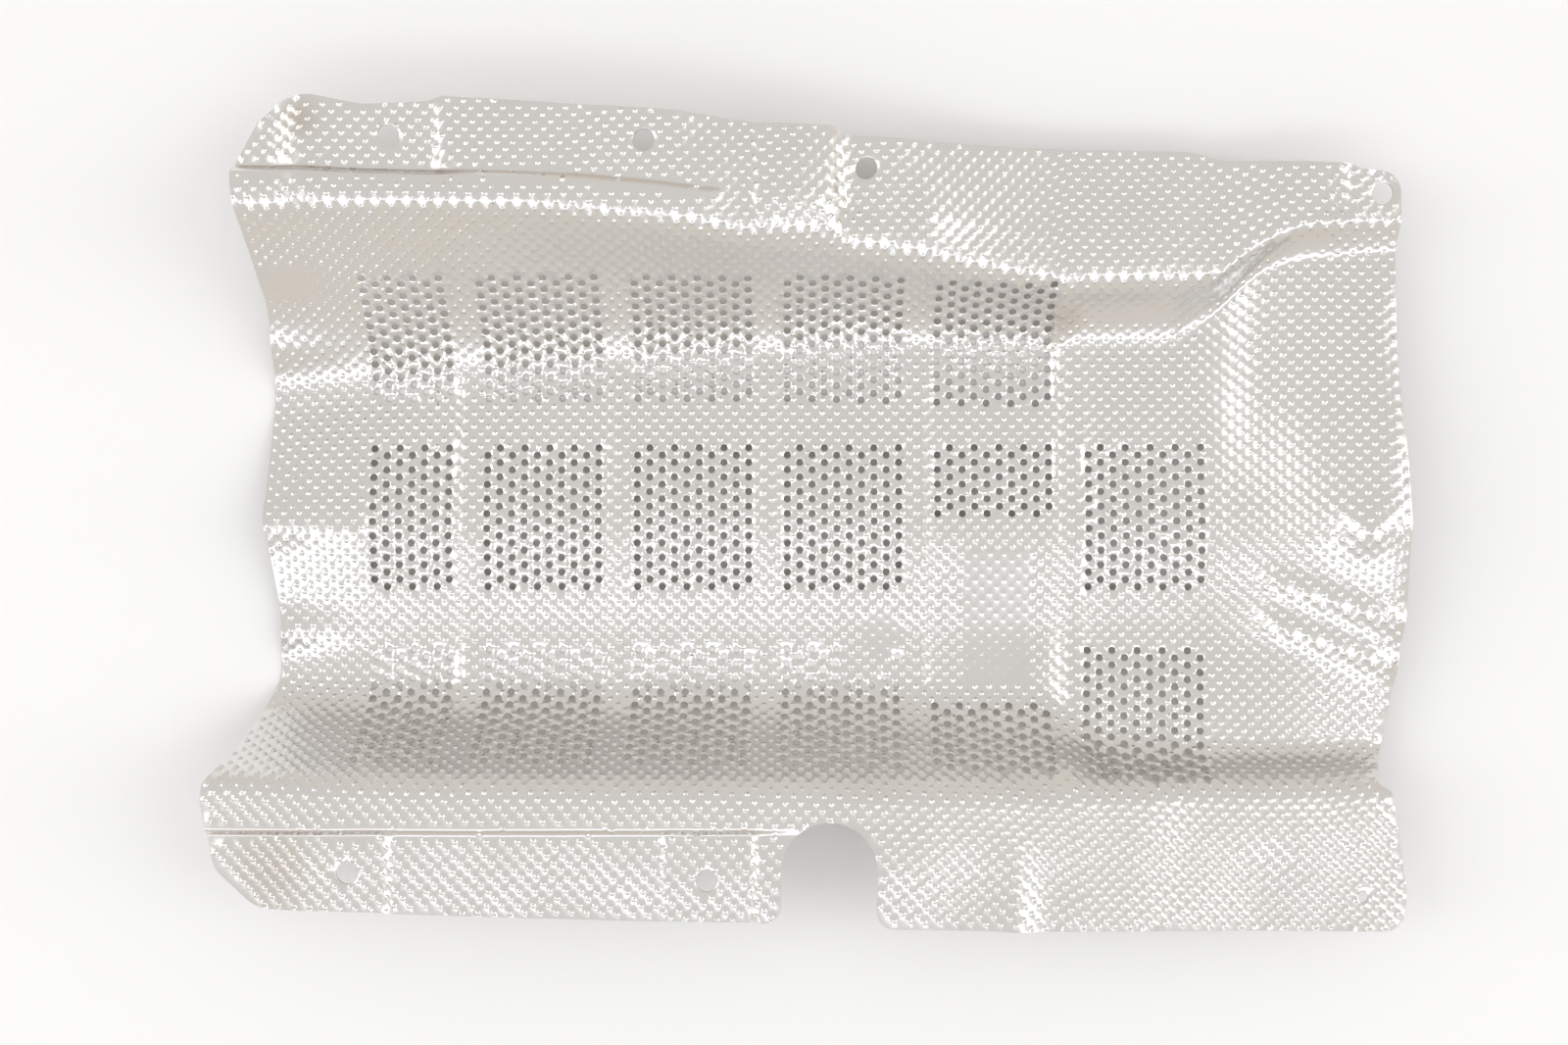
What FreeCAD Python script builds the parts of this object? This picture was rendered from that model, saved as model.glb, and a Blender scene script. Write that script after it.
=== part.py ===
import FreeCAD, Part
import math
import os

# Heat shield: one sheet of embossed aluminium, pressed into a trough with flanges, trimmed and pierced.
# X runs along the trough, Y across it, Z up out of the trough. The sheet lies on its two floor valleys.
# All sizes in mm.

SHEET_THICKNESS = 0.8

# Fixing holes, each pair on flange stretches of one height
FIXING_HOLE_D = 9.0
UPPER_LEFT_HOLES = ((-169, 152.5), (-67, 150.5))
UPPER_LEFT_PAD_Z = 45.5
UPPER_RIGHT_HOLES = ((22.5, 142), (232.5, 132))
UPPER_RIGHT_PAD_Z = 32.0
LOWER_HOLES = ((-185.5, -142), (-42, -145))
LOWER_PAD_Z = 44.5
CORNER_HOLE_D = 4.4
CORNER_HOLE = (224, -154)

# Lines of the pressed form along the trough, each as (x, value) pairs: first the lower flange and lip
LOWER_FLANGE_Z = ((-250, LOWER_PAD_Z), (-172, LOWER_PAD_Z), (-166, 45.7), (-62, 45.7), (-57, LOWER_PAD_Z),
                  (-25, LOWER_PAD_Z), (-20, 46), (8, 46), (60, 42), (120, 38), (180, 34.5), (255, 33))
LOWER_LIP_Y = ((-250, -105), (-131, -108), (-11, -110), (99, -112), (164, -110), (255, -109))
LOWER_LIP_Z = ((-250, 47.3), (-30, 47.3), (8, 46), (60, 42), (120, 38), (180, 34.5), (255, 33))
# the lower wall's foot, the two floor valleys and the ridge between them
WALL_FOOT_Y = ((-250, -77), (85, -80), (125, -95), (165, -97), (255, -97))
WALL_FOOT_Z = ((-250, 0), (80, 0), (125, 11), (165, 15), (200, 15), (255, 13))
WALL_FOOT_BLEND = ((-250, 26), (80, 26), (125, 10), (255, 10))
VALLEY_Y = ((-250, -52), (165, -52), (190, -58), (255, -62))
VALLEY_Z = ((-250, 0), (95, 0), (125, 4), (165, 7), (200, 16), (255, 20))
RIDGE_Y = ((-250, 1), (-200, 0), (-160, -3), (165, -4), (255, -1))
RIDGE_Z = ((-250, 15), (-205, 13), (-160, 7), (100, 7), (125, 9), (165, 11), (178, 15), (225, 33), (255, 38))
FOLD_Y = ((-250, 52), (-178, 58.5), (-78, 70), (-19, 74), (47, 76), (147, 75), (167, 84), (188, 102.5),
          (204, 107), (255, 110))
FOLD_Z = ((-250, -2.4), (-205, -2.2), (-160, -1.3), (-48, -0.85), (12, -0.65), (100, -0.4), (125, 3),
          (155, 4), (172, 9), (188, 16), (204, 19.5), (255, 24))
# the upper lip, the folded bead behind it and the upper flange
UPPER_LIP_Y = ((-250, 124), (-150, 126), (-81, 122), (-27, 115.5), (9, 113), (69, 103), (106, 98),
               (164, 99.5), (190, 115.5), (206, 120.5), (255, 121))
UPPER_LIP_Z = ((-250, 54.5), (-150, 54.5), (-81, 50), (-27, 42.5), (9, 37), (69, 28), (106, 24), (167, 23.5),
               (187, 27.5), (204, 31), (214, UPPER_RIGHT_PAD_Z), (255, UPPER_RIGHT_PAD_Z))
BEAD_Y = ((-250, 139), (-89, 135), (-35, 130), (20, 127), (106, 114), (167, 114), (187, 124), (255, 130))
BEAD_STEP = ((-250, 6), (-152, 6), (-146, 3.2), (-110, 3), (-60, 1.5), (-25, 0), (255, 0))
UPPER_FLANGE_Z = ((-250, UPPER_LEFT_PAD_Z), (-216, 46), (-203, 48.5), (-188, 46.5), (-178, UPPER_LEFT_PAD_Z),
                  (-152, UPPER_LEFT_PAD_Z), (-146, 46.8), (-115, 46.3), (-90, 45.7), (-76, UPPER_LEFT_PAD_Z),
                  (-58, UPPER_LEFT_PAD_Z), (-40, 42), (-25, 39.5), (-20, 41), (7, 37.2), (12, 33.5),
                  (18, UPPER_RIGHT_PAD_Z), (28, UPPER_RIGHT_PAD_Z), (69, 23.5), (106, 18.5), (165, 18),
                  (187, 23.2), (204, 27), (215, 28), (222, UPPER_RIGHT_PAD_Z), (255, UPPER_RIGHT_PAD_Z))
UPPER_FALL = ((-250, 0), (-152, 0), (-140, 0.12), (-95, 0.12), (-78, 0), (-56, 0), (-40, 0.12), (5, 0.12),
              (14, 0), (32, 0), (50, 0.12), (210, 0.12), (222, 0), (255, 0))
FLANGE_REFERENCE_Y = 150.0

# Blends of the folds; a blend takes at most its share of the flats beside it
LOWER_LIP_BLEND = 6.0
UPPER_LIP_BLEND = 8.0
FOLD_BLEND = 14.0
VALLEY_BLEND = 10.0
RIDGE_BLEND = 7.0
BLEND_ROOM = 0.48
FOLD_SHARES = (-1, 0, 1)
# the knee of the upper wall, as shares of the way from fold to lip
KNEE_ACROSS = 0.5
KNEE_UP = 0.4
KNEE_BLEND = 0.25
# the step along the lower flange, the folded bead and the ends of the untrimmed blank
LOWER_STEP_Y = -125.5
STEP_RUN = 3.0
BEAD_RUN = 2.4
LOWER_EDGE_Y = -178.0
UPPER_EDGE_Y = 180.0
LEFT_END_X = -252.0
RIGHT_END_X = 254.0

# Cross rib between the two bays, and the bead down the lower flange
CROSS_RIB_X = 110.5
CROSS_RIB_H = 2.2
CROSS_RIB_W = 8.0
FLANGE_BEAD_X = 82.5
FLANGE_BEAD_H = 3.5
FLANGE_BEAD_W = 8.0

# Perforated fields: six along X in three bands across Y, each with rows and columns of fine holes
HOLE_D = 3.3
ROW_PITCH = 6.2
COLUMN_PITCH = 5.22
HOLES_ALONG = 10
FIELD_COUNT = 6
FIELD_PITCH = 63.3
FIRST_FIELD_X = -199.5
BAND_START_Y = (51.0, -29.0, -56.5)
BAND_UPWARD = (1, 1, -1)
# here a field is a plain grid of fewer, larger openings with the same open area
OPENING_COLUMNS = 3
OPENING_ROWS = 4
OPENING_SIDES = 6

# Reach of the cutting tools
TOOL_BOTTOM_Z = -10.0
TOOL_HEIGHT = 90.0
OPENING_TOOL_DEPTH = 16.0

# Trim line: corner points with their rounding
TRIM = (
    (-230.5, 139.5, 5), (-221, 157, 10), (-211, 166, 9), (-201, 168.5, 14), (-180, 165, 25), (-153, 166, 6),
    (-147, 168, 3), (-105, 166, 60), (-50, 162.5, 60), (-23, 159, 8), (9, 158.5, 2.5), (13, 155.5, 3),
    (54, 153.5, 40), (158, 151.5, 20), (171, 147.5, 12), (218, 145, 6), (224, 142, 5), (240.3, 140.5, 9),
    (240.3, 70, 60), (243.5, 10, 40), (245, -37, 30), (242.7, -66, 30), (237.5, -95, 10), (231, -108.5, 1.5),
    (236, -111.5, 2.5), (242, -152, 20), (240.5, -168, 12), (88, -166.5, 80),
    (26.2, -164.5, 7), (26.2, -122, 19.1), (-12.2, -122, 19.1), (-12.2, -162, 7),
    (-74, -161, 60), (-207, -157, 40), (-222, -156, 15), (-239, -140, 12), (-241, -129, 8), (-243.8, -113, 5),
    (-243.3, -106, 3), (-235, -95, 12), (-225, -70, 20), (-223, -45, 15), (-228, 0, 30), (-227, 50, 30),
    (-224.5, 90, 25), (-229.5, 128, 8),
)


def along(line, x):
    # value at x on a smooth curve through the line's points, without overshoot
    last = len(line) - 1
    x = min(max(x, line[0][0]), line[last][0])
    slopes = [(line[i + 1][1] - line[i][1]) / (line[i + 1][0] - line[i][0]) for i in range(last)]
    i = 0
    while x > line[i + 1][0]:
        i += 1

    def tangent(k):
        if k == 0 or k == last:
            return slopes[min(k, last - 1)]
        before, after = slopes[k - 1], slopes[k]
        if before * after <= 0:
            return 0.0
        return 2 * before * after / (before + after)

    width = line[i + 1][0] - line[i][0]
    t = (x - line[i][0]) / width
    start, rise = line[i][1], line[i + 1][1] - line[i][1]
    a, b = tangent(i) * width, tangent(i + 1) * width
    return start + t * (a + t * (3 * rise - 2 * a - b + t * (a + b - 2 * rise)))


def bump(v, width):
    return math.exp(-(v / width) ** 2)


def corners(x):
    # the section's corners at x, from the lower edge to the upper one, as (y, z, blend)
    rib = CROSS_RIB_H * bump(x - CROSS_RIB_X, CROSS_RIB_W)
    lip_y, lip_z = along(UPPER_LIP_Y, x), along(UPPER_LIP_Z, x)
    fold_y, fold_z = along(FOLD_Y, x), along(FOLD_Z, x) + rib
    wall_y = lip_y - fold_y
    low_z, flange_z = along(LOWER_LIP_Z, x), along(LOWER_FLANGE_Z, x)
    bead_y, bead_step = along(BEAD_Y, x), along(BEAD_STEP, x)
    fall, top_z = along(UPPER_FALL, x), along(UPPER_FLANGE_Z, x)
    bead_foot_z = top_z + fall * (FLANGE_REFERENCE_Y - bead_y)
    found = [
        (LOWER_EDGE_Y, flange_z + FLANGE_BEAD_H * bump(x - FLANGE_BEAD_X, FLANGE_BEAD_W), 0.0),
        (LOWER_STEP_Y - STEP_RUN / 2, flange_z, 0.0),
        (LOWER_STEP_Y + STEP_RUN / 2, low_z, 0.0),
        (along(LOWER_LIP_Y, x), low_z, LOWER_LIP_BLEND),
        (along(WALL_FOOT_Y, x), along(WALL_FOOT_Z, x) + rib, along(WALL_FOOT_BLEND, x)),
        (along(VALLEY_Y, x), along(VALLEY_Z, x) + rib, VALLEY_BLEND),
        (along(RIDGE_Y, x), along(RIDGE_Z, x) + rib, RIDGE_BLEND),
        (fold_y, fold_z, FOLD_BLEND),
        (fold_y + KNEE_ACROSS * wall_y, fold_z + KNEE_UP * (lip_z - fold_z), KNEE_BLEND * wall_y),
        (lip_y, lip_z, UPPER_LIP_BLEND),
        (bead_y - BEAD_RUN / 2, bead_foot_z + bead_step, 0.0),
        (bead_y + BEAD_RUN / 2, bead_foot_z, 0.0),
        (UPPER_EDGE_Y, top_z - fall * (UPPER_EDGE_Y - FLANGE_REFERENCE_Y), 0.0),
    ]
    for i in range(1, len(found) - 1):
        y, z, blend = found[i]
        room = BLEND_ROOM * min(y - found[i - 1][0], found[i + 1][0] - y)
        found[i] = (y, z, min(blend, room))
    return found


def fold_line(x):
    # the middle of the sheet across the trough at x, each fold rounded by a few points on its arc
    points = corners(x)
    slopes = [(b[1] - a[1]) / (b[0] - a[0]) for a, b in zip(points, points[1:])]
    line = [points[0][:2]]
    for i in range(1, len(points) - 1):
        y, z, blend = points[i]
        if blend == 0:
            line.append((y, z))
            continue
        for share in FOLD_SHARES:
            bent = (slopes[i] - slopes[i - 1]) * blend * (share + 1) ** 2 / 4
            line.append((y + share * blend, z + slopes[i - 1] * share * blend + bent))
    line.append(points[-1][:2])
    return line


def sheet_section(x):
    # closed section of the sheet at x, half the thickness to each side of its middle
    line = fold_line(x)
    normals = [FreeCAD.Vector(0, a[1] - b[1], b[0] - a[0]).normalize() for a, b in zip(line, line[1:])]
    upper, lower = [], []
    for i, (y, z) in enumerate(line):
        before, after = normals[max(i - 1, 0)], normals[min(i, len(normals) - 1)]
        offset = (before + after) * (SHEET_THICKNESS / 2 / (1 + before.dot(after)))
        middle = FreeCAD.Vector(x, y, z + SHEET_THICKNESS / 2)
        upper.append(middle + offset)
        lower.append(middle - offset)
    return Part.makePolygon(upper + lower[::-1] + upper[:1])


# The blank: sections of the sheet joined by straight rulings, closer where the flanges step
stations = [LEFT_END_X, -205, -188, -172, -166, -152, -146, -118, -90, -61, -56, -25, -20, 7, 12, 23, 68,
            FLANGE_BEAD_X, 98, CROSS_RIB_X, 123, 147, 165, 178, 190, 204, 215, 222, RIGHT_END_X]
blank = Part.makeLoft([sheet_section(x) for x in stations], True, True)


def trim_wire(corner_list):
    # closed outline with each corner rounded
    count = len(corner_list)
    starts, mids, ends = [], [], []
    for i in range(count):
        here = FreeCAD.Vector(corner_list[i][0], corner_list[i][1], 0)
        back = FreeCAD.Vector(corner_list[i - 1][0], corner_list[i - 1][1], 0) - here
        ahead = FreeCAD.Vector(corner_list[(i + 1) % count][0], corner_list[(i + 1) % count][1], 0) - here
        turn = math.pi - back.getAngle(ahead)
        reach = min(corner_list[i][2] * math.tan(turn / 2), 0.499 * back.Length, 0.499 * ahead.Length)
        radius = reach / math.tan(turn / 2)
        inward = (FreeCAD.Vector(back).normalize() + FreeCAD.Vector(ahead).normalize()).normalize()
        starts.append(here + FreeCAD.Vector(back).normalize() * reach)
        ends.append(here + FreeCAD.Vector(ahead).normalize() * reach)
        mids.append(here + inward * (radius / math.cos(turn / 2) - radius))
    edges = []
    for i in range(count):
        edges.append(Part.Arc(starts[i], mids[i], ends[i]).toShape())
        edges.append(Part.makeLine(ends[i], starts[(i + 1) % count]))
    return Part.Wire(edges)


outline = Part.Face(trim_wire(TRIM)).extrude(FreeCAD.Vector(0, 0, TOOL_HEIGHT))
outline.translate(FreeCAD.Vector(0, 0, TOOL_BOTTOM_Z))
sheet = blank.common(outline)

# Fixing holes and the corner hole
round_holes = [(x, y, FIXING_HOLE_D) for x, y in UPPER_LEFT_HOLES + UPPER_RIGHT_HOLES + LOWER_HOLES]
round_holes.append((CORNER_HOLE[0], CORNER_HOLE[1], CORNER_HOLE_D))
cutters = []
for x, y, diameter in round_holes:
    cutters.append(Part.makeCylinder(diameter / 2, TOOL_HEIGHT, FreeCAD.Vector(x, y, TOOL_BOTTOM_Z)))


def section(points, y):
    # height of the rounded section through those corners
    slopes = [(b[1] - a[1]) / (b[0] - a[0]) for a, b in zip(points, points[1:])]
    z = points[0][1] + slopes[0] * (y - points[0][0])
    for i in range(1, len(slopes)):
        t, blend = y - points[i][0], points[i][2]
        rise = max(t, 0.0) if abs(t) >= blend else (t + blend) ** 2 / (4 * blend)
        z += (slopes[i] - slopes[i - 1]) * rise
    return z


def step_along_section(points, y, length):
    # the place a given length along the sheet from y, found in short strides
    way = 1 if length >= 0 else -1
    left = abs(length)
    stride = 0.25
    while left > 0:
        rise = section(points, y + way * stride) - section(points, y)
        walked = math.hypot(stride, rise)
        y += way * stride * min(1.0, left / walked)
        left -= walked
    return y


def opening_tool(x, y, points):
    # prism that cuts one opening square to the bent sheet
    rise = section(points, y + 0.5) - section(points, y - 0.5)
    along_sheet = FreeCAD.Vector(0, 1, rise).normalize()
    outward = FreeCAD.Vector(0, -rise, 1).normalize()
    middle = FreeCAD.Vector(x, y, section(points, y) + SHEET_THICKNESS / 2)
    start = middle - outward * (OPENING_TOOL_DEPTH / 2)
    radius = HOLE_D / 2 * math.sqrt(column_ratio * row_ratio)
    ring = []
    for k in range(OPENING_SIDES + 1):
        turn = 2 * math.pi * k / OPENING_SIDES
        sideways = FreeCAD.Vector(radius * math.cos(turn), 0, 0)
        ring.append(start + sideways + along_sheet * (radius * math.sin(turn)))
    return Part.Face(Part.makePolygon(ring)).extrude(outward * OPENING_TOOL_DEPTH)


def in_field(field, band, column, row):
    # the first field is narrow, the fifth short in two bands, and the sixth has no upper band
    if field == 0:
        return column >= 1
    if field == 4 and band > 0:
        return row >= 2
    return not (field == 5 and band == 0)


# Openings of the perforated fields, rows stepped along the bent sheet and every second column staggered
column_ratio = HOLES_ALONG / OPENING_COLUMNS
row_ratio = HOLES_ALONG / OPENING_ROWS
for field in range(FIELD_COUNT):
    for column in range(OPENING_COLUMNS):
        x = FIRST_FIELD_X + field * FIELD_PITCH + ((column + 0.5) * column_ratio - 0.5) * COLUMN_PITCH
        points = corners(x)
        for band, start_y in enumerate(BAND_START_Y):
            for row in range(OPENING_ROWS):
                if in_field(field, band, column, row):
                    stagger = 0.25 if column % 2 else -0.25
                    reach = ((row + 0.5 + stagger) * row_ratio - 0.25) * ROW_PITCH
                    y = step_along_section(points, start_y, reach * BAND_UPWARD[band])
                    cutters.append(opening_tool(x, y, points))

sheet = sheet.cut(cutters)

os.makedirs("parts", exist_ok=True)
sheet.Solids[0].exportStep("parts/heat_shield.step")
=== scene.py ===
import bpy
import math
import random
import numpy as np
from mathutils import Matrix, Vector
from mathutils.geometry import delaunay_2d_cdt
from mathutils.kdtree import KDTree


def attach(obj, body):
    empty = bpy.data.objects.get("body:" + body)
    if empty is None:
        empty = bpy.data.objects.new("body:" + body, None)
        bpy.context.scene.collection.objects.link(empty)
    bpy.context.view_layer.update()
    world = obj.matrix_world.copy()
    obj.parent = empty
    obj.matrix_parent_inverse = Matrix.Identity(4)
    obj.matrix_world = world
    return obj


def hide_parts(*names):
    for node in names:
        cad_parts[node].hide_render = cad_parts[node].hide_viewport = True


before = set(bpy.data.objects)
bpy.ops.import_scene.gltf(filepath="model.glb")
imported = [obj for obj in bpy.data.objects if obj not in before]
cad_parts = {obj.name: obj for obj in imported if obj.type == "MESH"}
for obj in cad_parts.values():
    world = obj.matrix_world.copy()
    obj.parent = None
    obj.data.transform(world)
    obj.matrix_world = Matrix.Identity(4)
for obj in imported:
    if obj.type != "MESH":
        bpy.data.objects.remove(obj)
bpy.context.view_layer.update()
mm = 0.001

# pressed form of the sheet in mm: lines along the trough as (x, value) points, the same as the part's
form = {
    "thickness": 0.8,
    "lowerFlangeZ": ((-250, 44.5), (-172, 44.5), (-166, 45.7), (-62, 45.7), (-57, 44.5), (-25, 44.5),
                     (-20, 46), (8, 46), (60, 42), (120, 38), (180, 34.5), (255, 33)),
    "lowerLipY": ((-250, -105), (-131, -108), (-11, -110), (99, -112), (164, -110), (255, -109)),
    "lowerLipZ": ((-250, 47.3), (-30, 47.3), (8, 46), (60, 42), (120, 38), (180, 34.5), (255, 33)),
    "footY": ((-250, -77), (85, -80), (125, -95), (165, -97), (255, -97)),
    "footZ": ((-250, 0), (80, 0), (125, 11), (165, 15), (200, 15), (255, 13)),
    "footBlend": ((-250, 26), (80, 26), (125, 10), (255, 10)),
    "valleyY": ((-250, -52), (165, -52), (190, -58), (255, -62)),
    "valleyZ": ((-250, 0), (95, 0), (125, 4), (165, 7), (200, 16), (255, 20)),
    "ridgeY": ((-250, 1), (-200, 0), (-160, -3), (165, -4), (255, -1)),
    "ridgeZ": ((-250, 15), (-205, 13), (-160, 7), (100, 7), (125, 9), (165, 11), (178, 15), (225, 33),
               (255, 38)),
    "foldY": ((-250, 52), (-178, 58.5), (-78, 70), (-19, 74), (47, 76), (147, 75), (167, 84), (188, 102.5),
              (204, 107), (255, 110)),
    "foldZ": ((-250, -2.4), (-205, -2.2), (-160, -1.3), (-48, -0.85), (12, -0.65), (100, -0.4), (125, 3),
              (155, 4), (172, 9), (188, 16), (204, 19.5), (255, 24)),
    "upperLipY": ((-250, 124), (-150, 126), (-81, 122), (-27, 115.5), (9, 113), (69, 103), (106, 98),
                  (164, 99.5), (190, 115.5), (206, 120.5), (255, 121)),
    "upperLipZ": ((-250, 54.5), (-150, 54.5), (-81, 50), (-27, 42.5), (9, 37), (69, 28), (106, 24),
                  (167, 23.5), (187, 27.5), (204, 31), (214, 32), (255, 32)),
    "beadY": ((-250, 139), (-89, 135), (-35, 130), (20, 127), (106, 114), (167, 114), (187, 124), (255, 130)),
    "beadStep": ((-250, 6), (-152, 6), (-146, 3.2), (-110, 3), (-60, 1.5), (-25, 0), (255, 0)),
    "upperFlangeZ": ((-250, 45.5), (-216, 46), (-203, 48.5), (-188, 46.5), (-178, 45.5), (-152, 45.5),
                     (-146, 46.8), (-115, 46.3), (-90, 45.7), (-76, 45.5), (-58, 45.5), (-40, 42),
                     (-25, 39.5), (-20, 41), (7, 37.2), (12, 33.5), (18, 32), (28, 32), (69, 23.5),
                     (106, 18.5), (165, 18), (187, 23.2), (204, 27), (215, 28), (222, 32), (255, 32)),
    "upperFall": ((-250, 0), (-152, 0), (-140, 0.12), (-95, 0.12), (-78, 0), (-56, 0), (-40, 0.12), (5, 0.12),
                  (14, 0), (32, 0), (50, 0.12), (210, 0.12), (222, 0), (255, 0)),
    "lowerEdge": -178, "upperEdge": 180, "stepY": -125.5, "stepRun": 1.8, "flangeRefY": 150, "beadHalf": 1.2,
    "lipBlend": 6, "upperLipBlend": 8, "foldBlend": 14, "valleyBlend": 10, "ridgeBlend": 7, "creaseBlend": 1,
    "bendAcross": 0.5, "bendUp": 0.4, "bendBlend": 0.25, "blendMost": 0.48,
    "ribX": 110.5, "ribHigh": 2.2, "ribWide": 8,
    "flangeBeadX": 82.5, "flangeBeadHigh": 3.5, "flangeBeadWide": 8,
}

# small pressings on top of that form; gussets are x, y, sizes and height, end waves are y, size and height
pressings = {
    "barX": (-144.5, -81, -17.5, 46.5), "barHigh": 0.9, "barWide": 4.5, "barY": (-78, 62), "barFade": 14,
    "plateX": (66, 93), "plateY": (-71, -13), "plateHigh": 0.3, "plateFade": 3,
    "peakAt": (226, -5), "peakHigh": 3, "peakWide": 9,
    "panelBeads": (34, 52), "panelBeadHigh": 1.6, "panelBeadWide": 5, "panelBeadLean": 0.35,
    "panelRefX": 215, "panelX": (188, 260), "panelFade": 12,
    "gussets": ((105, -102, 7, 8, 3), (106, 84, 5, 12, 3.2)),
    "endWaves": ((70, 7, 2.5), (-3, 8, 3), (-48, 8, 4), (98, 9, 2)), "endX": -234, "endWide": 30,
    "curlX": 231, "curlRise": -0.012, "curlY": (-104, 95), "curlFade": 20,
    "swells": 14, "swellMm": (28, 90), "swellSlope": 0.0019, "swellSeed": 11,
    "swellLeast": 0.3, "swellFullZ": 12,  # less waviness where the sheet lies on the floor
}


def alongLine(line, x):
    # smooth line through the points, with no overshoot
    px, py = np.array(line, float).T
    x = np.clip(x, px[0], px[-1])
    slope = np.diff(py) / np.diff(px)
    before, after = slope[:-1], slope[1:]
    total = np.where(before + after == 0, 1, before + after)
    inner = np.where(before * after > 0, 2 * before * after / total, 0)
    tangent = np.concatenate((slope[:1], inner, slope[-1:]))
    i = np.clip(np.searchsorted(px, x) - 1, 0, len(px) - 2)
    width = px[i + 1] - px[i]
    t = (x - px[i]) / width
    a, b, rise = tangent[i] * width, tangent[i + 1] * width, py[i + 1] - py[i]
    return py[i] + t * (a + t * (3 * rise - 2 * a - b + t * (a + b - 2 * rise)))


def gauss(v, width):
    return np.exp(-(v / width) ** 2)


def ease(t):
    t = np.clip(t, 0, 1)
    return t * t * (3 - 2 * t)


def between(v, low, high, fade):
    return ease((v - low) / fade + 0.5) * ease((high - v) / fade + 0.5)


def foldCorners(x):
    # section corners at x from the lower edge to the upper one: y, z and blend
    f = form
    line = lambda name: alongLine(f[name], x)
    same = lambda v: np.full_like(x, v)
    rib = f["ribHigh"] * gauss(x - f["ribX"], f["ribWide"])
    lipY, lipZ, foldY, foldZ = line("upperLipY"), line("upperLipZ"), line("foldY"), line("foldZ") + rib
    lowZ, flangeZ, beadY, fall = line("lowerLipZ"), line("lowerFlangeZ"), line("beadY"), line("upperFall")
    topZ = line("upperFlangeZ")
    beadFoot = topZ + fall * (f["flangeRefY"] - beadY)
    bead = f["flangeBeadHigh"] * gauss(x - f["flangeBeadX"], f["flangeBeadWide"])
    corners = (
        (same(f["lowerEdge"]), flangeZ + bead, same(0)),
        (same(f["stepY"] - f["stepRun"] / 2), flangeZ, same(f["creaseBlend"])),
        (same(f["stepY"] + f["stepRun"] / 2), lowZ, same(f["creaseBlend"])),
        (line("lowerLipY"), lowZ, same(f["lipBlend"])),
        (line("footY"), line("footZ") + rib, line("footBlend")),
        (line("valleyY"), line("valleyZ") + rib, same(f["valleyBlend"])),
        (line("ridgeY"), line("ridgeZ") + rib, same(f["ridgeBlend"])),
        (foldY, foldZ, same(f["foldBlend"])),
        (foldY + f["bendAcross"] * (lipY - foldY), foldZ + f["bendUp"] * (lipZ - foldZ),
         f["bendBlend"] * (lipY - foldY)),
        (lipY, lipZ, same(f["upperLipBlend"])),
        (beadY - f["beadHalf"], beadFoot + line("beadStep"), same(f["creaseBlend"])),
        (beadY + f["beadHalf"], beadFoot, same(f["creaseBlend"])),
        (same(f["upperEdge"]), topZ - fall * (f["upperEdge"] - f["flangeRefY"]), same(0)),
    )
    y, z, blend = (np.array(column) for column in zip(*corners))
    gap = np.diff(y, axis=0)
    blend[1:-1] = np.minimum(blend[1:-1], f["blendMost"] * np.minimum(gap[:-1], gap[1:]))
    return y, z, blend


def gentleSwells():
    # gentle waviness of thin sheet: waves of random length and heading
    pick = random.Random(pressings["swellSeed"])
    found = []
    for n in range(pressings["swells"]):
        length, heading = pick.uniform(*pressings["swellMm"]), pick.uniform(0, math.pi)
        turn = 2 * math.pi / length
        found.append((turn * math.cos(heading), turn * math.sin(heading), pick.uniform(0, 6.28),
                      length * pressings["swellSlope"]))
    return found


swells = gentleSwells()


def sheetMiddle(x, y):
    # height of the middle of the sheet
    cy, cz, blend = foldCorners(x)
    slope = np.diff(cz, axis=0) / np.diff(cy, axis=0)
    z = cz[0] + slope[0] * (y - cy[0])
    for i in range(1, len(slope)):
        t, w = y - cy[i], blend[i]
        rise = np.where(np.abs(t) >= w, np.maximum(t, 0), (t + w) ** 2 / (4 * w))
        z = z + (slope[i] - slope[i - 1]) * rise
    p = pressings
    for barX in p["barX"]:
        z = z + p["barHigh"] * gauss(x - barX, p["barWide"]) * between(y, *p["barY"], p["barFade"])
    plate = p["plateHigh"] * between(x, *p["plateX"], p["plateFade"])
    z = z + plate * between(y, *p["plateY"], p["plateFade"])
    peakX, peakY = p["peakAt"]
    z = z + p["peakHigh"] * gauss(x - peakX, p["peakWide"]) * gauss(y - peakY, p["peakWide"])
    for start in p["panelBeads"]:
        across = y + p["panelBeadLean"] * (x - p["panelRefX"]) + start
        bead = p["panelBeadHigh"] * gauss(across, p["panelBeadWide"])
        z = z + bead * between(x, *p["panelX"], p["panelFade"])
    for gussetX, gussetY, wideX, wideY, high in p["gussets"]:
        z = z + high * gauss(x - gussetX, wideX) * gauss(y - gussetY, wideY)
    for waveY, wide, high in p["endWaves"]:
        z = z + high * gauss(x - p["endX"], p["endWide"]) * gauss(y - waveY, wide)
    curl = p["curlRise"] * np.maximum(x - p["curlX"], 0) ** 2
    z = z + curl * between(y, *p["curlY"], p["curlFade"])
    swell = sum(depth * np.sin(kx * x + ky * y + start) for kx, ky, start, depth in swells)
    z = z + swell * (p["swellLeast"] + (1 - p["swellLeast"]) * ease(z / p["swellFullZ"]))
    return np.maximum(z, 0) + form["thickness"] / 2


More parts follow.
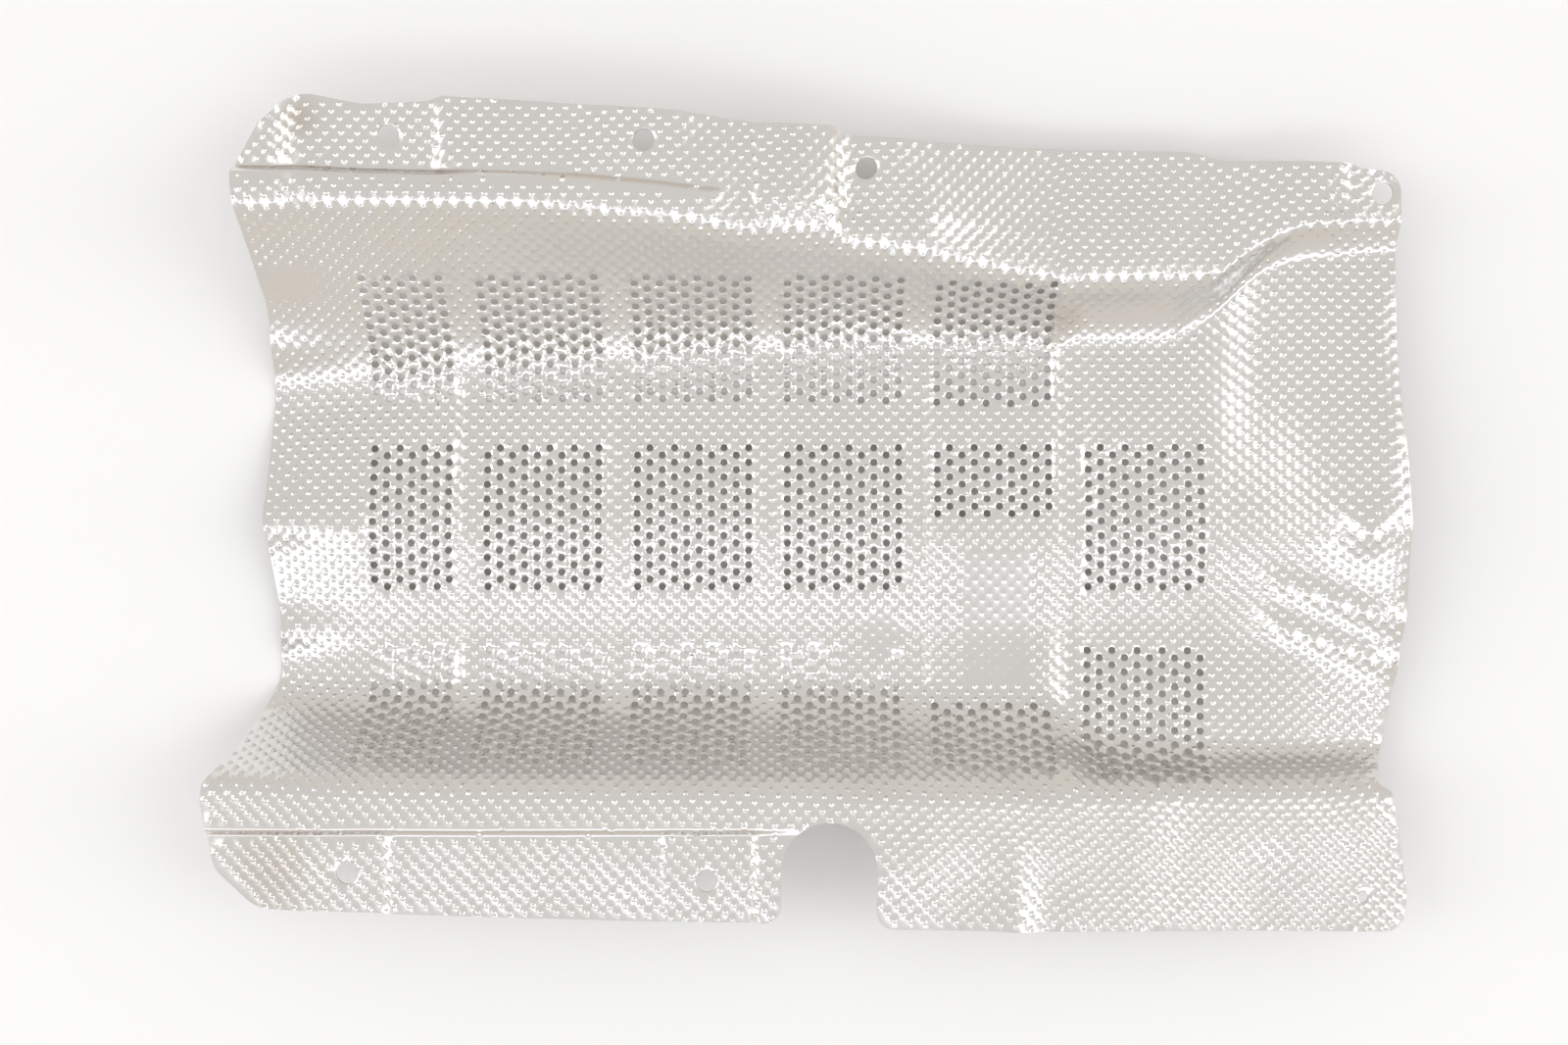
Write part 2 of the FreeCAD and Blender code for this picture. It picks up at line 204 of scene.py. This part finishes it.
# the sheet unrolled: length along the section from the ridge, looked up over the plan
plan = {"x": (-254, 257, 2.0), "y": (-182, 184, 0.5)}  # from, to and step
fineStep = plan["y"][2]
gridX = np.arange(*plan["x"])
gridY = np.arange(*plan["y"])
meshX, meshY = np.meshgrid(gridX, gridY, indexing="ij")
meshZ = sheetMiddle(meshX.ravel(), meshY.ravel()).reshape(meshX.shape)
steps = np.hypot(np.diff(meshZ, axis=1), fineStep)
lengths = np.concatenate((np.zeros((len(gridX), 1)), np.cumsum(steps, axis=1)), axis=1)
lengths -= lengths[:, [int(np.argmin(np.abs(gridY)))]]
gridS = np.arange(lengths.min(), lengths.max(), fineStep)
placeY = np.array([np.interp(gridS, row, gridY) for row in lengths])


def lookUp(values, axisA, axisB, a, b):
    fa = np.clip((a - axisA[0]) / (axisA[1] - axisA[0]), 0, len(axisA) - 1.001)
    fb = np.clip((b - axisB[0]) / (axisB[1] - axisB[0]), 0, len(axisB) - 1.001)
    i, j = fa.astype(int), fb.astype(int)
    u, v = fa - i, fb - j
    low = values[i, j] * (1 - v) + values[i, j + 1] * v
    high = values[i + 1, j] * (1 - v) + values[i + 1, j + 1] * v
    return low * (1 - u) + high * u


def unrolled(x, y):
    return lookUp(lengths, gridX, gridY, x, y)


def laidOut(x, s):
    return lookUp(placeY, gridX, gridS, x, s)


print("form ready")

# trim line: corner points as x, y and rounding, joined in steps
trim = {
    "step": 2.2, "arcTurn": 0.26, "runShare": 0.499,
    "corners": (
        (-230.5, 139.5, 5), (-221, 157, 10), (-211, 166, 9), (-201, 168.5, 14), (-180, 165, 25),
        (-153, 166, 6), (-147, 168, 3), (-105, 166, 60), (-50, 162.5, 60), (-23, 159, 8), (9, 158.5, 2.5),
        (13, 155.5, 3), (54, 153.5, 40), (158, 151.5, 20), (171, 147.5, 12), (218, 145, 6), (224, 142, 5),
        (240.3, 140.5, 9), (240.3, 70, 60), (243.5, 10, 40), (245, -37, 30), (242.7, -66, 30),
        (237.5, -95, 10), (231, -108.5, 1.5), (236, -111.5, 2.5), (242, -152, 20), (240.5, -168, 12),
        (88, -166.5, 80), (26.2, -164.5, 7), (26.2, -122, 19.1), (-12.2, -122, 19.1), (-12.2, -162, 7),
        (-74, -161, 60), (-207, -157, 40), (-222, -156, 15), (-239, -140, 12), (-241, -129, 8),
        (-243.8, -113, 5), (-243.3, -106, 3), (-235, -95, 12), (-225, -70, 20), (-223, -45, 15),
        (-228, 0, 30), (-227, 50, 30), (-224.5, 90, 25), (-229.5, 128, 8),
    ),
}


def trimLine():
    # rounded corners joined by straight runs, in points no more than a step apart
    corners, step = trim["corners"], trim["step"]
    count = len(corners)
    rounded = []
    for i in range(count):
        here = np.array(corners[i][:2], float)
        back, ahead = np.array(corners[i - 1][:2]) - here, np.array(corners[(i + 1) % count][:2]) - here
        backLong, aheadLong = np.linalg.norm(back), np.linalg.norm(ahead)
        back, ahead = back / backLong, ahead / aheadLong
        turn = math.pi - math.acos(np.clip(back @ ahead, -1, 1))
        most = trim["runShare"] * min(backLong, aheadLong)
        reach = min(corners[i][2] * math.tan(turn / 2), most)
        radius = reach / math.tan(turn / 2)
        inward = (back + ahead) / np.linalg.norm(back + ahead)
        centre = here + inward * radius / math.cos(turn / 2)
        first, last = here + back * reach - centre, here + ahead * reach - centre
        parts = max(2, math.ceil(turn * radius / step), math.ceil(turn / trim["arcTurn"]))
        arc = []
        for k in range(parts + 1):
            share = k / parts
            mixed = (math.sin((1 - share) * turn) * first + math.sin(share * turn) * last) / math.sin(turn)
            arc.append(centre + mixed)
        rounded.append(arc)
    points = []
    for i in range(count):
        points += rounded[i]
        start, end = rounded[i][-1], rounded[(i + 1) % count][0]
        parts = math.ceil(np.linalg.norm(end - start) / step)
        points += [start + (end - start) * k / parts for k in range(1, parts)]
    return np.array(points)


# holes: six fixings, one corner hole, and the fine holes in three bands of fields
holes = {
    "fixings": ((-169, 152.5), (-67, 150.5), (22.5, 142), (232.5, 132), (-185.5, -142), (-42, -145)),
    "fixingRadius": 4.5, "fixingSides": 36, "cornerAt": (224, -154), "cornerRadius": 2.2, "cornerSides": 18,
    "radius": 1.6, "sides": 10, "rowPitch": (5.9, 6.2, 6.1), "columnPitch": 5.22, "count": 10,
    "fields": 6, "fieldPitch": 63.3, "firstX": -199.5,
    "bandY": (((-250, 50.7), (-20, 50.7), (90, 48.4), (255, 48.4)), ((-250, -29), (255, -29)),
              ((-250, -56), (255, -56))),
    "bandWay": (1, 1, -1), "bandLean": (0, 0, 0.045),
    "rimTilt": 0.4,  # punching draws the rim of a hole down
}


def inField(field, band, column, row):
    # the first fields are narrower, one is missing, and three make room for the plate and the bare spot
    if field == 0:
        return column >= 3
    if field == 4 and band == 1:
        return row >= 5
    if field == 4 and band == 2:
        return row >= 4
    if field == 3 and band == 2:
        return row > 1 or column < 5 or (column == 9 and row == 0)
    return not (field == 5 and band == 0)


def perforation():
    # hole centres, rows stepped along the bent sheet
    h = holes
    found = []
    for band in range(len(h["bandY"])):
        for field in range(h["fields"]):
            for column in range(h["count"]):
                for row in range(h["count"]):
                    if inField(field, band, column, row):
                        x = h["firstX"] + field * h["fieldPitch"] + column * h["columnPitch"]
                        along = h["rowPitch"][band] * (row + column % 2 / 2) * h["bandWay"][band]
                        start = float(alongLine(h["bandY"][band], np.array([x]))[0])
                        found.append((x, start, along, h["bandLean"][band]))
    x, start, along, lean = np.array(found).T
    y = laidOut(x, unrolled(x, start) + along)
    return np.column_stack((x + lean * (y - start), y))


def ringPoints(centre, radius, sides):
    # circle on the bent sheet, brought to the plan
    turns = np.arange(sides) * 2 * math.pi / sides
    x = centre[0] + radius * np.cos(turns)
    s = unrolled(centre[:1], centre[1:])[0] + radius * np.sin(turns)
    return np.column_stack((x, laidOut(x, s)))


def insideLine(points, line):
    inside = np.zeros(len(points), bool)
    x, y = points[:, 0], points[:, 1]
    for (x0, y0), (x1, y1) in zip(line, np.roll(line, -1, axis=0)):
        if y0 != y1:
            crosses = ((y0 > y) != (y1 > y)) & (x < x0 + (y - y0) * (x1 - x0) / (y1 - y0))
            inside ^= crosses
    return inside


def nearest(points, targets):
    # distance from each point to the nearest target
    tree = KDTree(len(targets))
    for n, (x, y) in enumerate(targets):
        tree.insert((x, y, 0), n)
    tree.balance()
    return np.array([tree.find((x, y, 0))[2] for x, y in points])


def sheetSlope(x, y):
    reach = 0.2
    slopeX = (sheetMiddle(x + reach, y) - sheetMiddle(x - reach, y)) / (2 * reach)
    slopeY = (sheetMiddle(x, y + reach) - sheetMiddle(x, y - reach)) / (2 * reach)
    return slopeX, slopeY


# trim line and hole rings, the vertices that stay where they are
outline = trimLine()
punched = [(at, holes["fixingRadius"], holes["fixingSides"]) for at in holes["fixings"]]
punched.append((holes["cornerAt"], holes["cornerRadius"], holes["cornerSides"]))
punched += [(at, holes["radius"], holes["sides"]) for at in perforation()]
centres = np.array([at for at, radius, sides in punched], float)
radii = np.array([radius for at, radius, sides in punched])
small = radii == holes["radius"]
rings = [outline]
loops = [np.arange(len(outline))]
for at, radius, sides in punched:
    start = loops[-1][-1] + 1
    rings.append(ringPoints(np.array(at, float), radius, sides))
    loops.append(np.arange(start, start + sides))
edgePoints = np.concatenate(rings)
edgeTilt = np.zeros((len(edgePoints), 2))
for loop in loops[1:]:
    turns = np.arange(len(loop)) * 2 * math.pi / len(loop)
    edgeTilt[loop] = -holes["rimTilt"] * np.column_stack((np.cos(turns), np.sin(turns)))
print("holes", len(centres))

# narrow creases carried by rows of vertices, as offsets across them, with painted shade just above the fold
creases = {
    "bead": (-2.2, -0.9, 0.9, 2.2), "flangeStep": (-1.8, -0.5, 0.5, 1.8), "reachX": 244, "step": 2.4,
    # the darker brown shares on the rows just above each fold are painted shade
    "least": 0.3, "offHole": 0.5, "foldShadeAndSpots": {"bead": 0.6, "flangeStep": 0.4}, "foldShadeWithin": 1.5,
}

# embossing: flat-topped knobs on a centred rectangular lattice, shaded round by tilted normals
knobs = {
    "pitchX": 6.15, "pitchY": 5.7, "fromX": -250, "toX": 252, "mostX": 250, "mostY": 176,
    "high": 0.75, "spread": 0.2, "spreadSeed": 8, "jitter": 0.12, "jitterSeed": 5,
    "top": 0.9, "topSides": 5, "topTilt": 0.8, "foot": 1.5, "footSides": 5, "footTilt": 0.13,
    "leanUpper": -0.085, "leanLower": 0.12, "wallShare": (0.9, 0.5), "wallSlope": 0.5,
    "offHole": 0.4, "ringOffHole": 0.3, "offEdge": 0.9, "offCrease": 1.1,
    "plainShare": 0.25, "plainFade": 1, "bareAt": (30.5, -49.5), "bareRadius": 9,
    # where stretching has ironed them: x, y, sizes and the share that is left
    "ironed": ((-216, 96, 16, 7, 0.2), (139, 88, 28, 9, 0.25), (202, 111, 13, 7, 0.2), (173, 52, 8, 28, 0.4)),
}

# darker brown places: x, y, size and share
darkSpots = ((-203, 158, 7, 0.5), (-215, -140, 16, 0.4), (107, 84, 7, 0.4))


def creaseRows():
    # vertices along the folded bead of the upper flange and the step of the lower one, with painted shade
    # just above each fold
    c = creases
    x = np.arange(-c["reachX"], c["reachX"], c["step"])
    beadOn = alongLine(form["beadStep"], x) > c["least"]
    stepOn = alongLine(form["lowerLipZ"], x) - alongLine(form["lowerFlangeZ"], x) > c["least"]
    found = []
    for on, line, name in ((beadOn, alongLine(form["beadY"], x), "bead"),
                           (stepOn, np.full_like(x, form["stepY"]), "flangeStep")):
        for offset in c[name]:
            # painted shade: the rows just above the fold get a darker share
            darkAmount = c["foldShadeAndSpots"][name] if 0 < offset < c["foldShadeWithin"] else 0
            found.append(np.column_stack((x[on], line[on] + offset, np.full(on.sum(), darkAmount))))
    return np.concatenate(found)


def leanShift(x, y):
    # columns of the lattice lean outwards on the flanges
    upper = np.maximum(y - alongLine(form["foldY"], x), 0)
    lower = np.minimum(y - alongLine(form["lowerLipY"], x), 0)
    return knobs["leanUpper"] * upper + knobs["leanLower"] * lower


def knobCentres():
    # knob centres over the unrolled sheet, brought to the plan: x, y and s
    k = knobs
    u, s = np.meshgrid(np.arange(k["fromX"], k["toX"], k["pitchX"] / 2),
                       np.arange(gridS[0], gridS[-1], k["pitchY"] / 2), indexing="ij")
    i, j = np.indices(u.shape)
    up = (i + j) % 2 == 0
    scatter = np.random.default_rng(k["jitterSeed"])
    u = u[up] + scatter.uniform(-k["jitter"], k["jitter"], up.sum())
    s = s[up] + scatter.uniform(-k["jitter"], k["jitter"], up.sum())
    x = u
    for again in range(3):  # the lean depends on the place that it leads to
        y = laidOut(x, s)
        x = u + leanShift(x, y)
    keep = (np.abs(x) < k["mostX"]) & (np.abs(y) < k["mostY"])
    return x[keep], y[keep], s[keep]


def offHoles(points, gap):
    # whether a point is clear of every hole, on the bent sheet, and of the trim line
    spread = np.column_stack((points[:, 0], unrolled(*points.T)))
    spots = np.column_stack((centres[:, 0], unrolled(*centres.T)))
    free = nearest(spread, spots[small]) > holes["radius"] + gap
    for at, radius in zip(spots[~small], radii[~small]):
        free &= np.hypot(*(spread - at).T) > radius + gap
    return free & (nearest(points, outline) > knobs["offEdge"]) & insideLine(points, outline)


# knobs where the sheet is embossed: a ring round the top and a ring round the foot
k = knobs
x, y, s = knobCentres()
rows = creaseRows()
bareX, bareY = k["bareAt"]
onPlate = between(x, *pressings["plateX"], k["plainFade"]) * between(y, *pressings["plateY"], k["plainFade"])
plain = (onPlate > 0.5) | (np.hypot(x - bareX, y - bareY) < k["bareRadius"])
keep = offHoles(np.column_stack((x, y)), k["offHole"])
keep &= nearest(np.column_stack((x, y)), rows[:, :2]) > k["offCrease"]
x, y, s, plain = x[keep], y[keep], s[keep], plain[keep]
steep = np.hypot(*sheetSlope(x, y))
highs = k["high"] * np.random.default_rng(k["spreadSeed"]).uniform(1 - k["spread"], 1 + k["spread"], len(x))
highs *= 1 - (1 - np.where(y < 0, *k["wallShare"])) * ease((steep - k["wallSlope"]) / k["wallSlope"])
highs[plain] *= k["plainShare"]
for zoneX, zoneY, wideX, wideY, left in k["ironed"]:
    highs *= 1 - (1 - left) * np.exp(-((x - zoneX) / wideX) ** 4 - ((y - zoneY) / wideY) ** 4)
ringX, ringS, ringHigh, ringTilt = [], [], [], []
for radius, sides, share, slant in ((k["top"], k["topSides"], 1, k["topTilt"]),
                                    (k["foot"], k["footSides"], 0, k["footTilt"])):
    for turn in np.arange(sides) * 2 * math.pi / sides:
        ringX.append(x + radius * math.cos(turn))
        ringS.append(s + radius * math.sin(turn))
        ringHigh.append(share * highs)
        tilt = slant * highs / k["high"]
        ringTilt.append(np.column_stack((tilt * math.cos(turn), tilt * math.sin(turn))))
ringX, ringS, ringHigh, ringTilt = (np.concatenate(part) for part in (ringX, ringS, ringHigh, ringTilt))
ringY = laidOut(ringX, ringS)
keep = offHoles(np.column_stack((ringX, ringY)), k["ringOffHole"])
ringX, ringY, ringS, ringHigh, ringTilt = (part[keep] for part in (ringX, ringY, ringS, ringHigh, ringTilt))
rows = rows[offHoles(rows[:, :2], creases["offHole"])]
offKnobs = len(edgePoints) + len(rows)
allX = np.concatenate((edgePoints[:, 0], rows[:, 0], ringX))
allY = np.concatenate((edgePoints[:, 1], rows[:, 1], ringY))
allS = np.concatenate((unrolled(allX, allY)[:offKnobs], ringS))
allHigh = np.concatenate((np.zeros(offKnobs), ringHigh))
allTilt = np.concatenate((edgeTilt, np.zeros((len(rows), 2)), ringTilt))
allWorn = allHigh / k["high"]
# painted shade along the folds, and darker brown places, as one share per vertex
allFoldShadeAndSpots = np.concatenate((np.zeros(len(edgePoints)), rows[:, 2], np.zeros(len(ringX))))
for spotX, spotY, size, share in darkSpots:
    allFoldShadeAndSpots = np.maximum(allFoldShadeAndSpots, share * gauss(np.hypot(allX - spotX, allY - spotY), size))
print("knobs", len(x), "vertices", len(allX))

# triangles over the unrolled sheet, without those in a hole or outside the trim line
weld = 1e-5
edges = [(int(a), int(b)) for loop in loops for a, b in zip(loop, np.roll(loop, -1))]
flatPoints = np.column_stack((allX, allS))
meshed = delaunay_2d_cdt([Vector(at) for at in flatPoints.tolist()], edges, [], 0, weld, True)
foundFaces, vertIds = meshed[2], meshed[3]
source = np.array([ids[0] if ids else -1 for ids in vertIds])
tris = source[np.array(foundFaces)]
loopOf = np.full(len(allX), -1)
for n, loop in enumerate(loops):
    loopOf[loop] = n
sameLoop = (loopOf[tris[:, 0]] == loopOf[tris[:, 1]]) & (loopOf[tris[:, 0]] == loopOf[tris[:, 2]])
own = np.where(sameLoop, loopOf[tris[:, 0]], -1)
drop = own > 0
onTrim = np.flatnonzero(own == 0)
middle = flatPoints[tris[onTrim]].mean(axis=1)
drop[onTrim] = ~insideLine(middle, flatPoints[loops[0]])
drop |= (tris < 0).any(axis=1)
tris = tris[~drop]
sideA = flatPoints[tris[:, 1]] - flatPoints[tris[:, 0]]
sideB = flatPoints[tris[:, 2]] - flatPoints[tris[:, 0]]
turned = sideA[:, 0] * sideB[:, 1] < sideA[:, 1] * sideB[:, 0]
tris[turned] = tris[turned][:, ::-1]
print("triangles on one face", len(tris))

# both faces of the sheet, and the cut edges between them
slopeX, slopeY = sheetSlope(allX, allY)
normal = np.column_stack((-slopeX, -slopeY, np.ones_like(slopeX)))
normal /= np.linalg.norm(normal, axis=1)[:, None]
centre = np.column_stack((allX, allY, sheetMiddle(allX, allY)))
centre += normal * allHigh[:, None]
front = centre + normal * form["thickness"] / 2
rear = centre - normal * form["thickness"] / 2
alongX = np.column_stack((np.ones_like(slopeX), np.zeros_like(slopeX), slopeX))
alongX /= np.linalg.norm(alongX, axis=1)[:, None]
shaded = normal + alongX * allTilt[:, :1] + np.cross(normal, alongX) * allTilt[:, 1:]
shaded /= np.linalg.norm(shaded, axis=1)[:, None]
edgeCount = len(edgePoints)
walls = []
for loop in loops:
    for a, b in zip(loop.tolist(), np.roll(loop, -1).tolist()):
        walls.append((a, a + edgeCount, b + edgeCount, b))


def linear(code):
    # sRGB hex colour to linear
    parts = [int(code[i:i + 2], 16) / 255 for i in (1, 3, 5)]
    return tuple(c / 12.92 if c <= 0.04045 else ((c + 0.055) / 1.055) ** 2.4 for c in parts) + (1,)


def addNode(tree, kind, settings=None, sockets=None, links=()):
    node = tree.nodes.new(kind)
    for name, value in (settings or {}).items():
        setattr(node, name, value)
    for name, value in (sockets or {}).items():
        node.inputs[name].default_value = value
    for name, source in links:
        tree.links.new(source, node.inputs[name])
    return node


def newMaterial(name):
    material = bpy.data.materials.new(name)
    material.use_nodes = True
    tree = material.node_tree
    return material, tree, tree.nodes["Principled BSDF"]


def rolledAluminium(name, look):
    # rolled aluminium sheet: dull patches, fine grain, painted shade in the creases plus a few darker brown
    # places, and polish on the knobs
    material, tree, shader = newMaterial(name)
    place = addNode(tree, "ShaderNodeTexCoord").outputs["Object"]
    patch = addNode(tree, "ShaderNodeTexNoise", None, {"Scale": 1 / (look["patchMm"] * mm), "Detail": 4},
                    [("Vector", place)]).outputs["Fac"]
    # sockets 6 and 7 are the two colours of a mix
    colour = addNode(tree, "ShaderNodeMix", {"data_type": "RGBA"},
                     {6: linear(look["clean"]), 7: linear(look["dull"])}, [("Factor", patch)])
    # the brown mixed in by this attribute is painted shade along the folds, plus a few darker brown places
    darkAmount = addNode(tree, "ShaderNodeAttribute", {"attribute_name": "foldShadeAndSpots"}).outputs["Fac"]
    share = addNode(tree, "ShaderNodeMath", {"operation": "MULTIPLY"}, {1: look["foldShadeAndSpotsShare"]}, [(0, darkAmount)])
    darkened = addNode(tree, "ShaderNodeMix", {"data_type": "RGBA"}, {7: linear(look["foldShadeAndSpots"])},
                     [("Factor", share.outputs[0]), (6, colour.outputs[2])])
    rough = addNode(tree, "ShaderNodeMapRange", None,
                    {"To Min": look["roughLow"], "To Max": look["roughHigh"]}, [("Value", patch)])
    worn = addNode(tree, "ShaderNodeAttribute", {"attribute_name": "worn"}).outputs["Fac"]
    polish = addNode(tree, "ShaderNodeMix", None, {3: look["roughWorn"]},
                     [("Factor", worn), (2, rough.outputs[0])])
    # rolling grain is finer than this, and drawn as coarse as it needs to show
    grain = addNode(tree, "ShaderNodeTexNoise", None, {"Scale": 1 / (look["grainMm"] * mm), "Detail": 3},
                    [("Vector", place)]).outputs["Fac"]
    bump = addNode(tree, "ShaderNodeBump", None, {"Strength": 0.15, "Distance": 0.1 * mm},
                   [("Height", grain)])
    shader.inputs["Metallic"].default_value = 1
    tree.links.new(darkened.outputs[2], shader.inputs["Base Color"])
    tree.links.new(polish.outputs[0], shader.inputs["Roughness"])
    tree.links.new(bump.outputs["Normal"], shader.inputs["Normal"])
    return material


def meshPiece(name, points, faces, material, normals=None):
    mesh = bpy.data.meshes.new(name)
    mesh.from_pydata((points * mm).tolist(), [], faces)
    mesh.shade_smooth()
    if normals is not None:
        mesh.normals_split_custom_set_from_vertices(normals.tolist())
    mesh.materials.append(material)
    piece = bpy.data.objects.new(name, mesh)
    bpy.context.scene.collection.objects.link(piece)
    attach(piece, "root")
    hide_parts("heat_shield")
    return piece


# mill-finish aluminium as it left the press: a pale, soft mirror that the knobs break into small lights
brightSheet = rolledAluminium("embossed mill-finish aluminium", {
    # the brown is painted shade along the folds, plus a few darker brown places
    "clean": "#ecebea", "dull": "#e3e1de", "foldShadeAndSpots": "#b29a7c", "foldShadeAndSpotsShare": 0.7,
    "roughLow": 0.18, "roughHigh": 0.27, "roughWorn": 0.15, "patchMm": 40, "grainMm": 0.6})
# the same sheet underneath, dulled by road film: satin grey with broad, faint lights
dullSheet = rolledAluminium("road-soiled aluminium", {
    "clean": "#dedad5", "dull": "#d1cbc3", "foldShadeAndSpots": "#d1cbc3", "foldShadeAndSpotsShare": 0,
    "roughLow": 0.4, "roughHigh": 0.55, "roughWorn": 0.4, "patchMm": 30, "grainMm": 0.6})
# sheared and punched metal: rough and a little darker, without lights
cutSheet = rolledAluminium("punched aluminium edge", {
    "clean": "#d6d0c8", "dull": "#c6beb4", "foldShadeAndSpots": "#c6beb4", "foldShadeAndSpotsShare": 0,
    "roughLow": 0.45, "roughHigh": 0.6, "roughWorn": 0.45, "patchMm": 20, "grainMm": 0.6})
sheetFront = meshPiece("sheetFront", front, tris.tolist(), brightSheet, shaded)
for name, values in (("foldShadeAndSpots", allFoldShadeAndSpots), ("worn", allWorn)):
    sheetFront.data.attributes.new(name, "FLOAT", "POINT").data.foreach_set("value", values)
meshPiece("sheetRear", rear, tris[:, ::-1].tolist(), dullSheet, -shaded)
meshPiece("cutEdges", np.concatenate((front[:edgeCount], rear[:edgeCount])), walls, cutSheet)
print("sheet made")

# floor: painted board, matt, so that it gives a soft shadow and no reflection
board = {"half": 40, "colour": "#f7f8f9", "rough": 0.9, "specular": 0.1}
half = board["half"]
floorMesh = bpy.data.meshes.new("floor")
floorMesh.from_pydata([(-half, -half, 0), (half, -half, 0), (half, half, 0), (-half, half, 0)], [],
                      [(0, 1, 2, 3)])
floor = bpy.data.objects.new("floor", floorMesh)
bpy.context.scene.collection.objects.link(floor)
floorLook, floorTree, floorShader = newMaterial("matt white board")
floorShader.inputs["Base Color"].default_value = linear(board["colour"])
floorShader.inputs["Roughness"].default_value = board["rough"]
floorShader.inputs["Specular IOR Level"].default_value = board["specular"]
floorMesh.materials.append(floorLook)

# studio walls and ceiling: colour bands from the floor up
sky = {"strength": 1.15, "bands": ((0, "#d4cec6"), (0.3, "#d4cec6"), (0.6, "#d3d1ce"), (1, "#d3d1ce"))}
world = bpy.data.worlds.new("studio")
bpy.context.scene.world = world
world.use_nodes = True
worldTree = world.node_tree
heading = addNode(worldTree, "ShaderNodeTexCoord").outputs["Generated"]
upward = addNode(worldTree, "ShaderNodeSeparateXYZ", None, None, [("Vector", heading)]).outputs["Z"]
bands = addNode(worldTree, "ShaderNodeValToRGB", None, None, [("Fac", upward)])
while len(bands.color_ramp.elements) < len(sky["bands"]):
    bands.color_ramp.elements.new(1)
for element, (place, code) in zip(bands.color_ramp.elements, sky["bands"]):
    element.position = place
    element.color = linear(code)
background = worldTree.nodes["Background"]
worldTree.links.new(bands.outputs["Color"], background.inputs["Color"])
background.inputs["Strength"].default_value = sky["strength"]

# large softboxes far off, all aimed at the origin
softboxes = {
    "front softbox": {"at": (0, -3.45, 5.1), "size": (7.2, 1.5), "watts": 56, "colour": "#eff4ff"},
    "left softbox": {"at": (-5.55, 0, 2.7), "size": (2.7, 7.8), "watts": 117, "colour": "#ffffff"},
    "right softbox": {"at": (5.55, 0, 2.7), "size": (2.7, 7.8), "watts": 117, "colour": "#ffffff"},
}
for name, box in softboxes.items():
    light = bpy.data.lights.new(name, "AREA")
    light.shape = "RECTANGLE"
    light.size, light.size_y = box["size"]
    light.energy = box["watts"]
    light.color = linear(box["colour"])[:3]
    lamp = bpy.data.objects.new(name, light)
    lamp.location = box["at"]
    lamp.rotation_mode = "QUATERNION"
    lamp.rotation_quaternion = (Vector((0, 0, 0)) - Vector(box["at"])).to_track_quat("-Z", "Y")
    bpy.context.scene.collection.objects.link(lamp)
print("floor and light made")

# camera straight above, looking down
view = {"at": (-0.011, -0.002, 0.7454), "lens": 40.23, "sensor": 36}
camera = bpy.data.cameras.new("camera")
camera.lens = view["lens"]
camera.sensor_width = view["sensor"]
cameraObject = bpy.data.objects.new("camera", camera)
cameraObject.location = view["at"]
bpy.context.scene.collection.objects.link(cameraObject)
bpy.context.scene.camera = cameraObject
bpy.context.scene.view_settings.view_transform = "Standard"

print("scene ready")
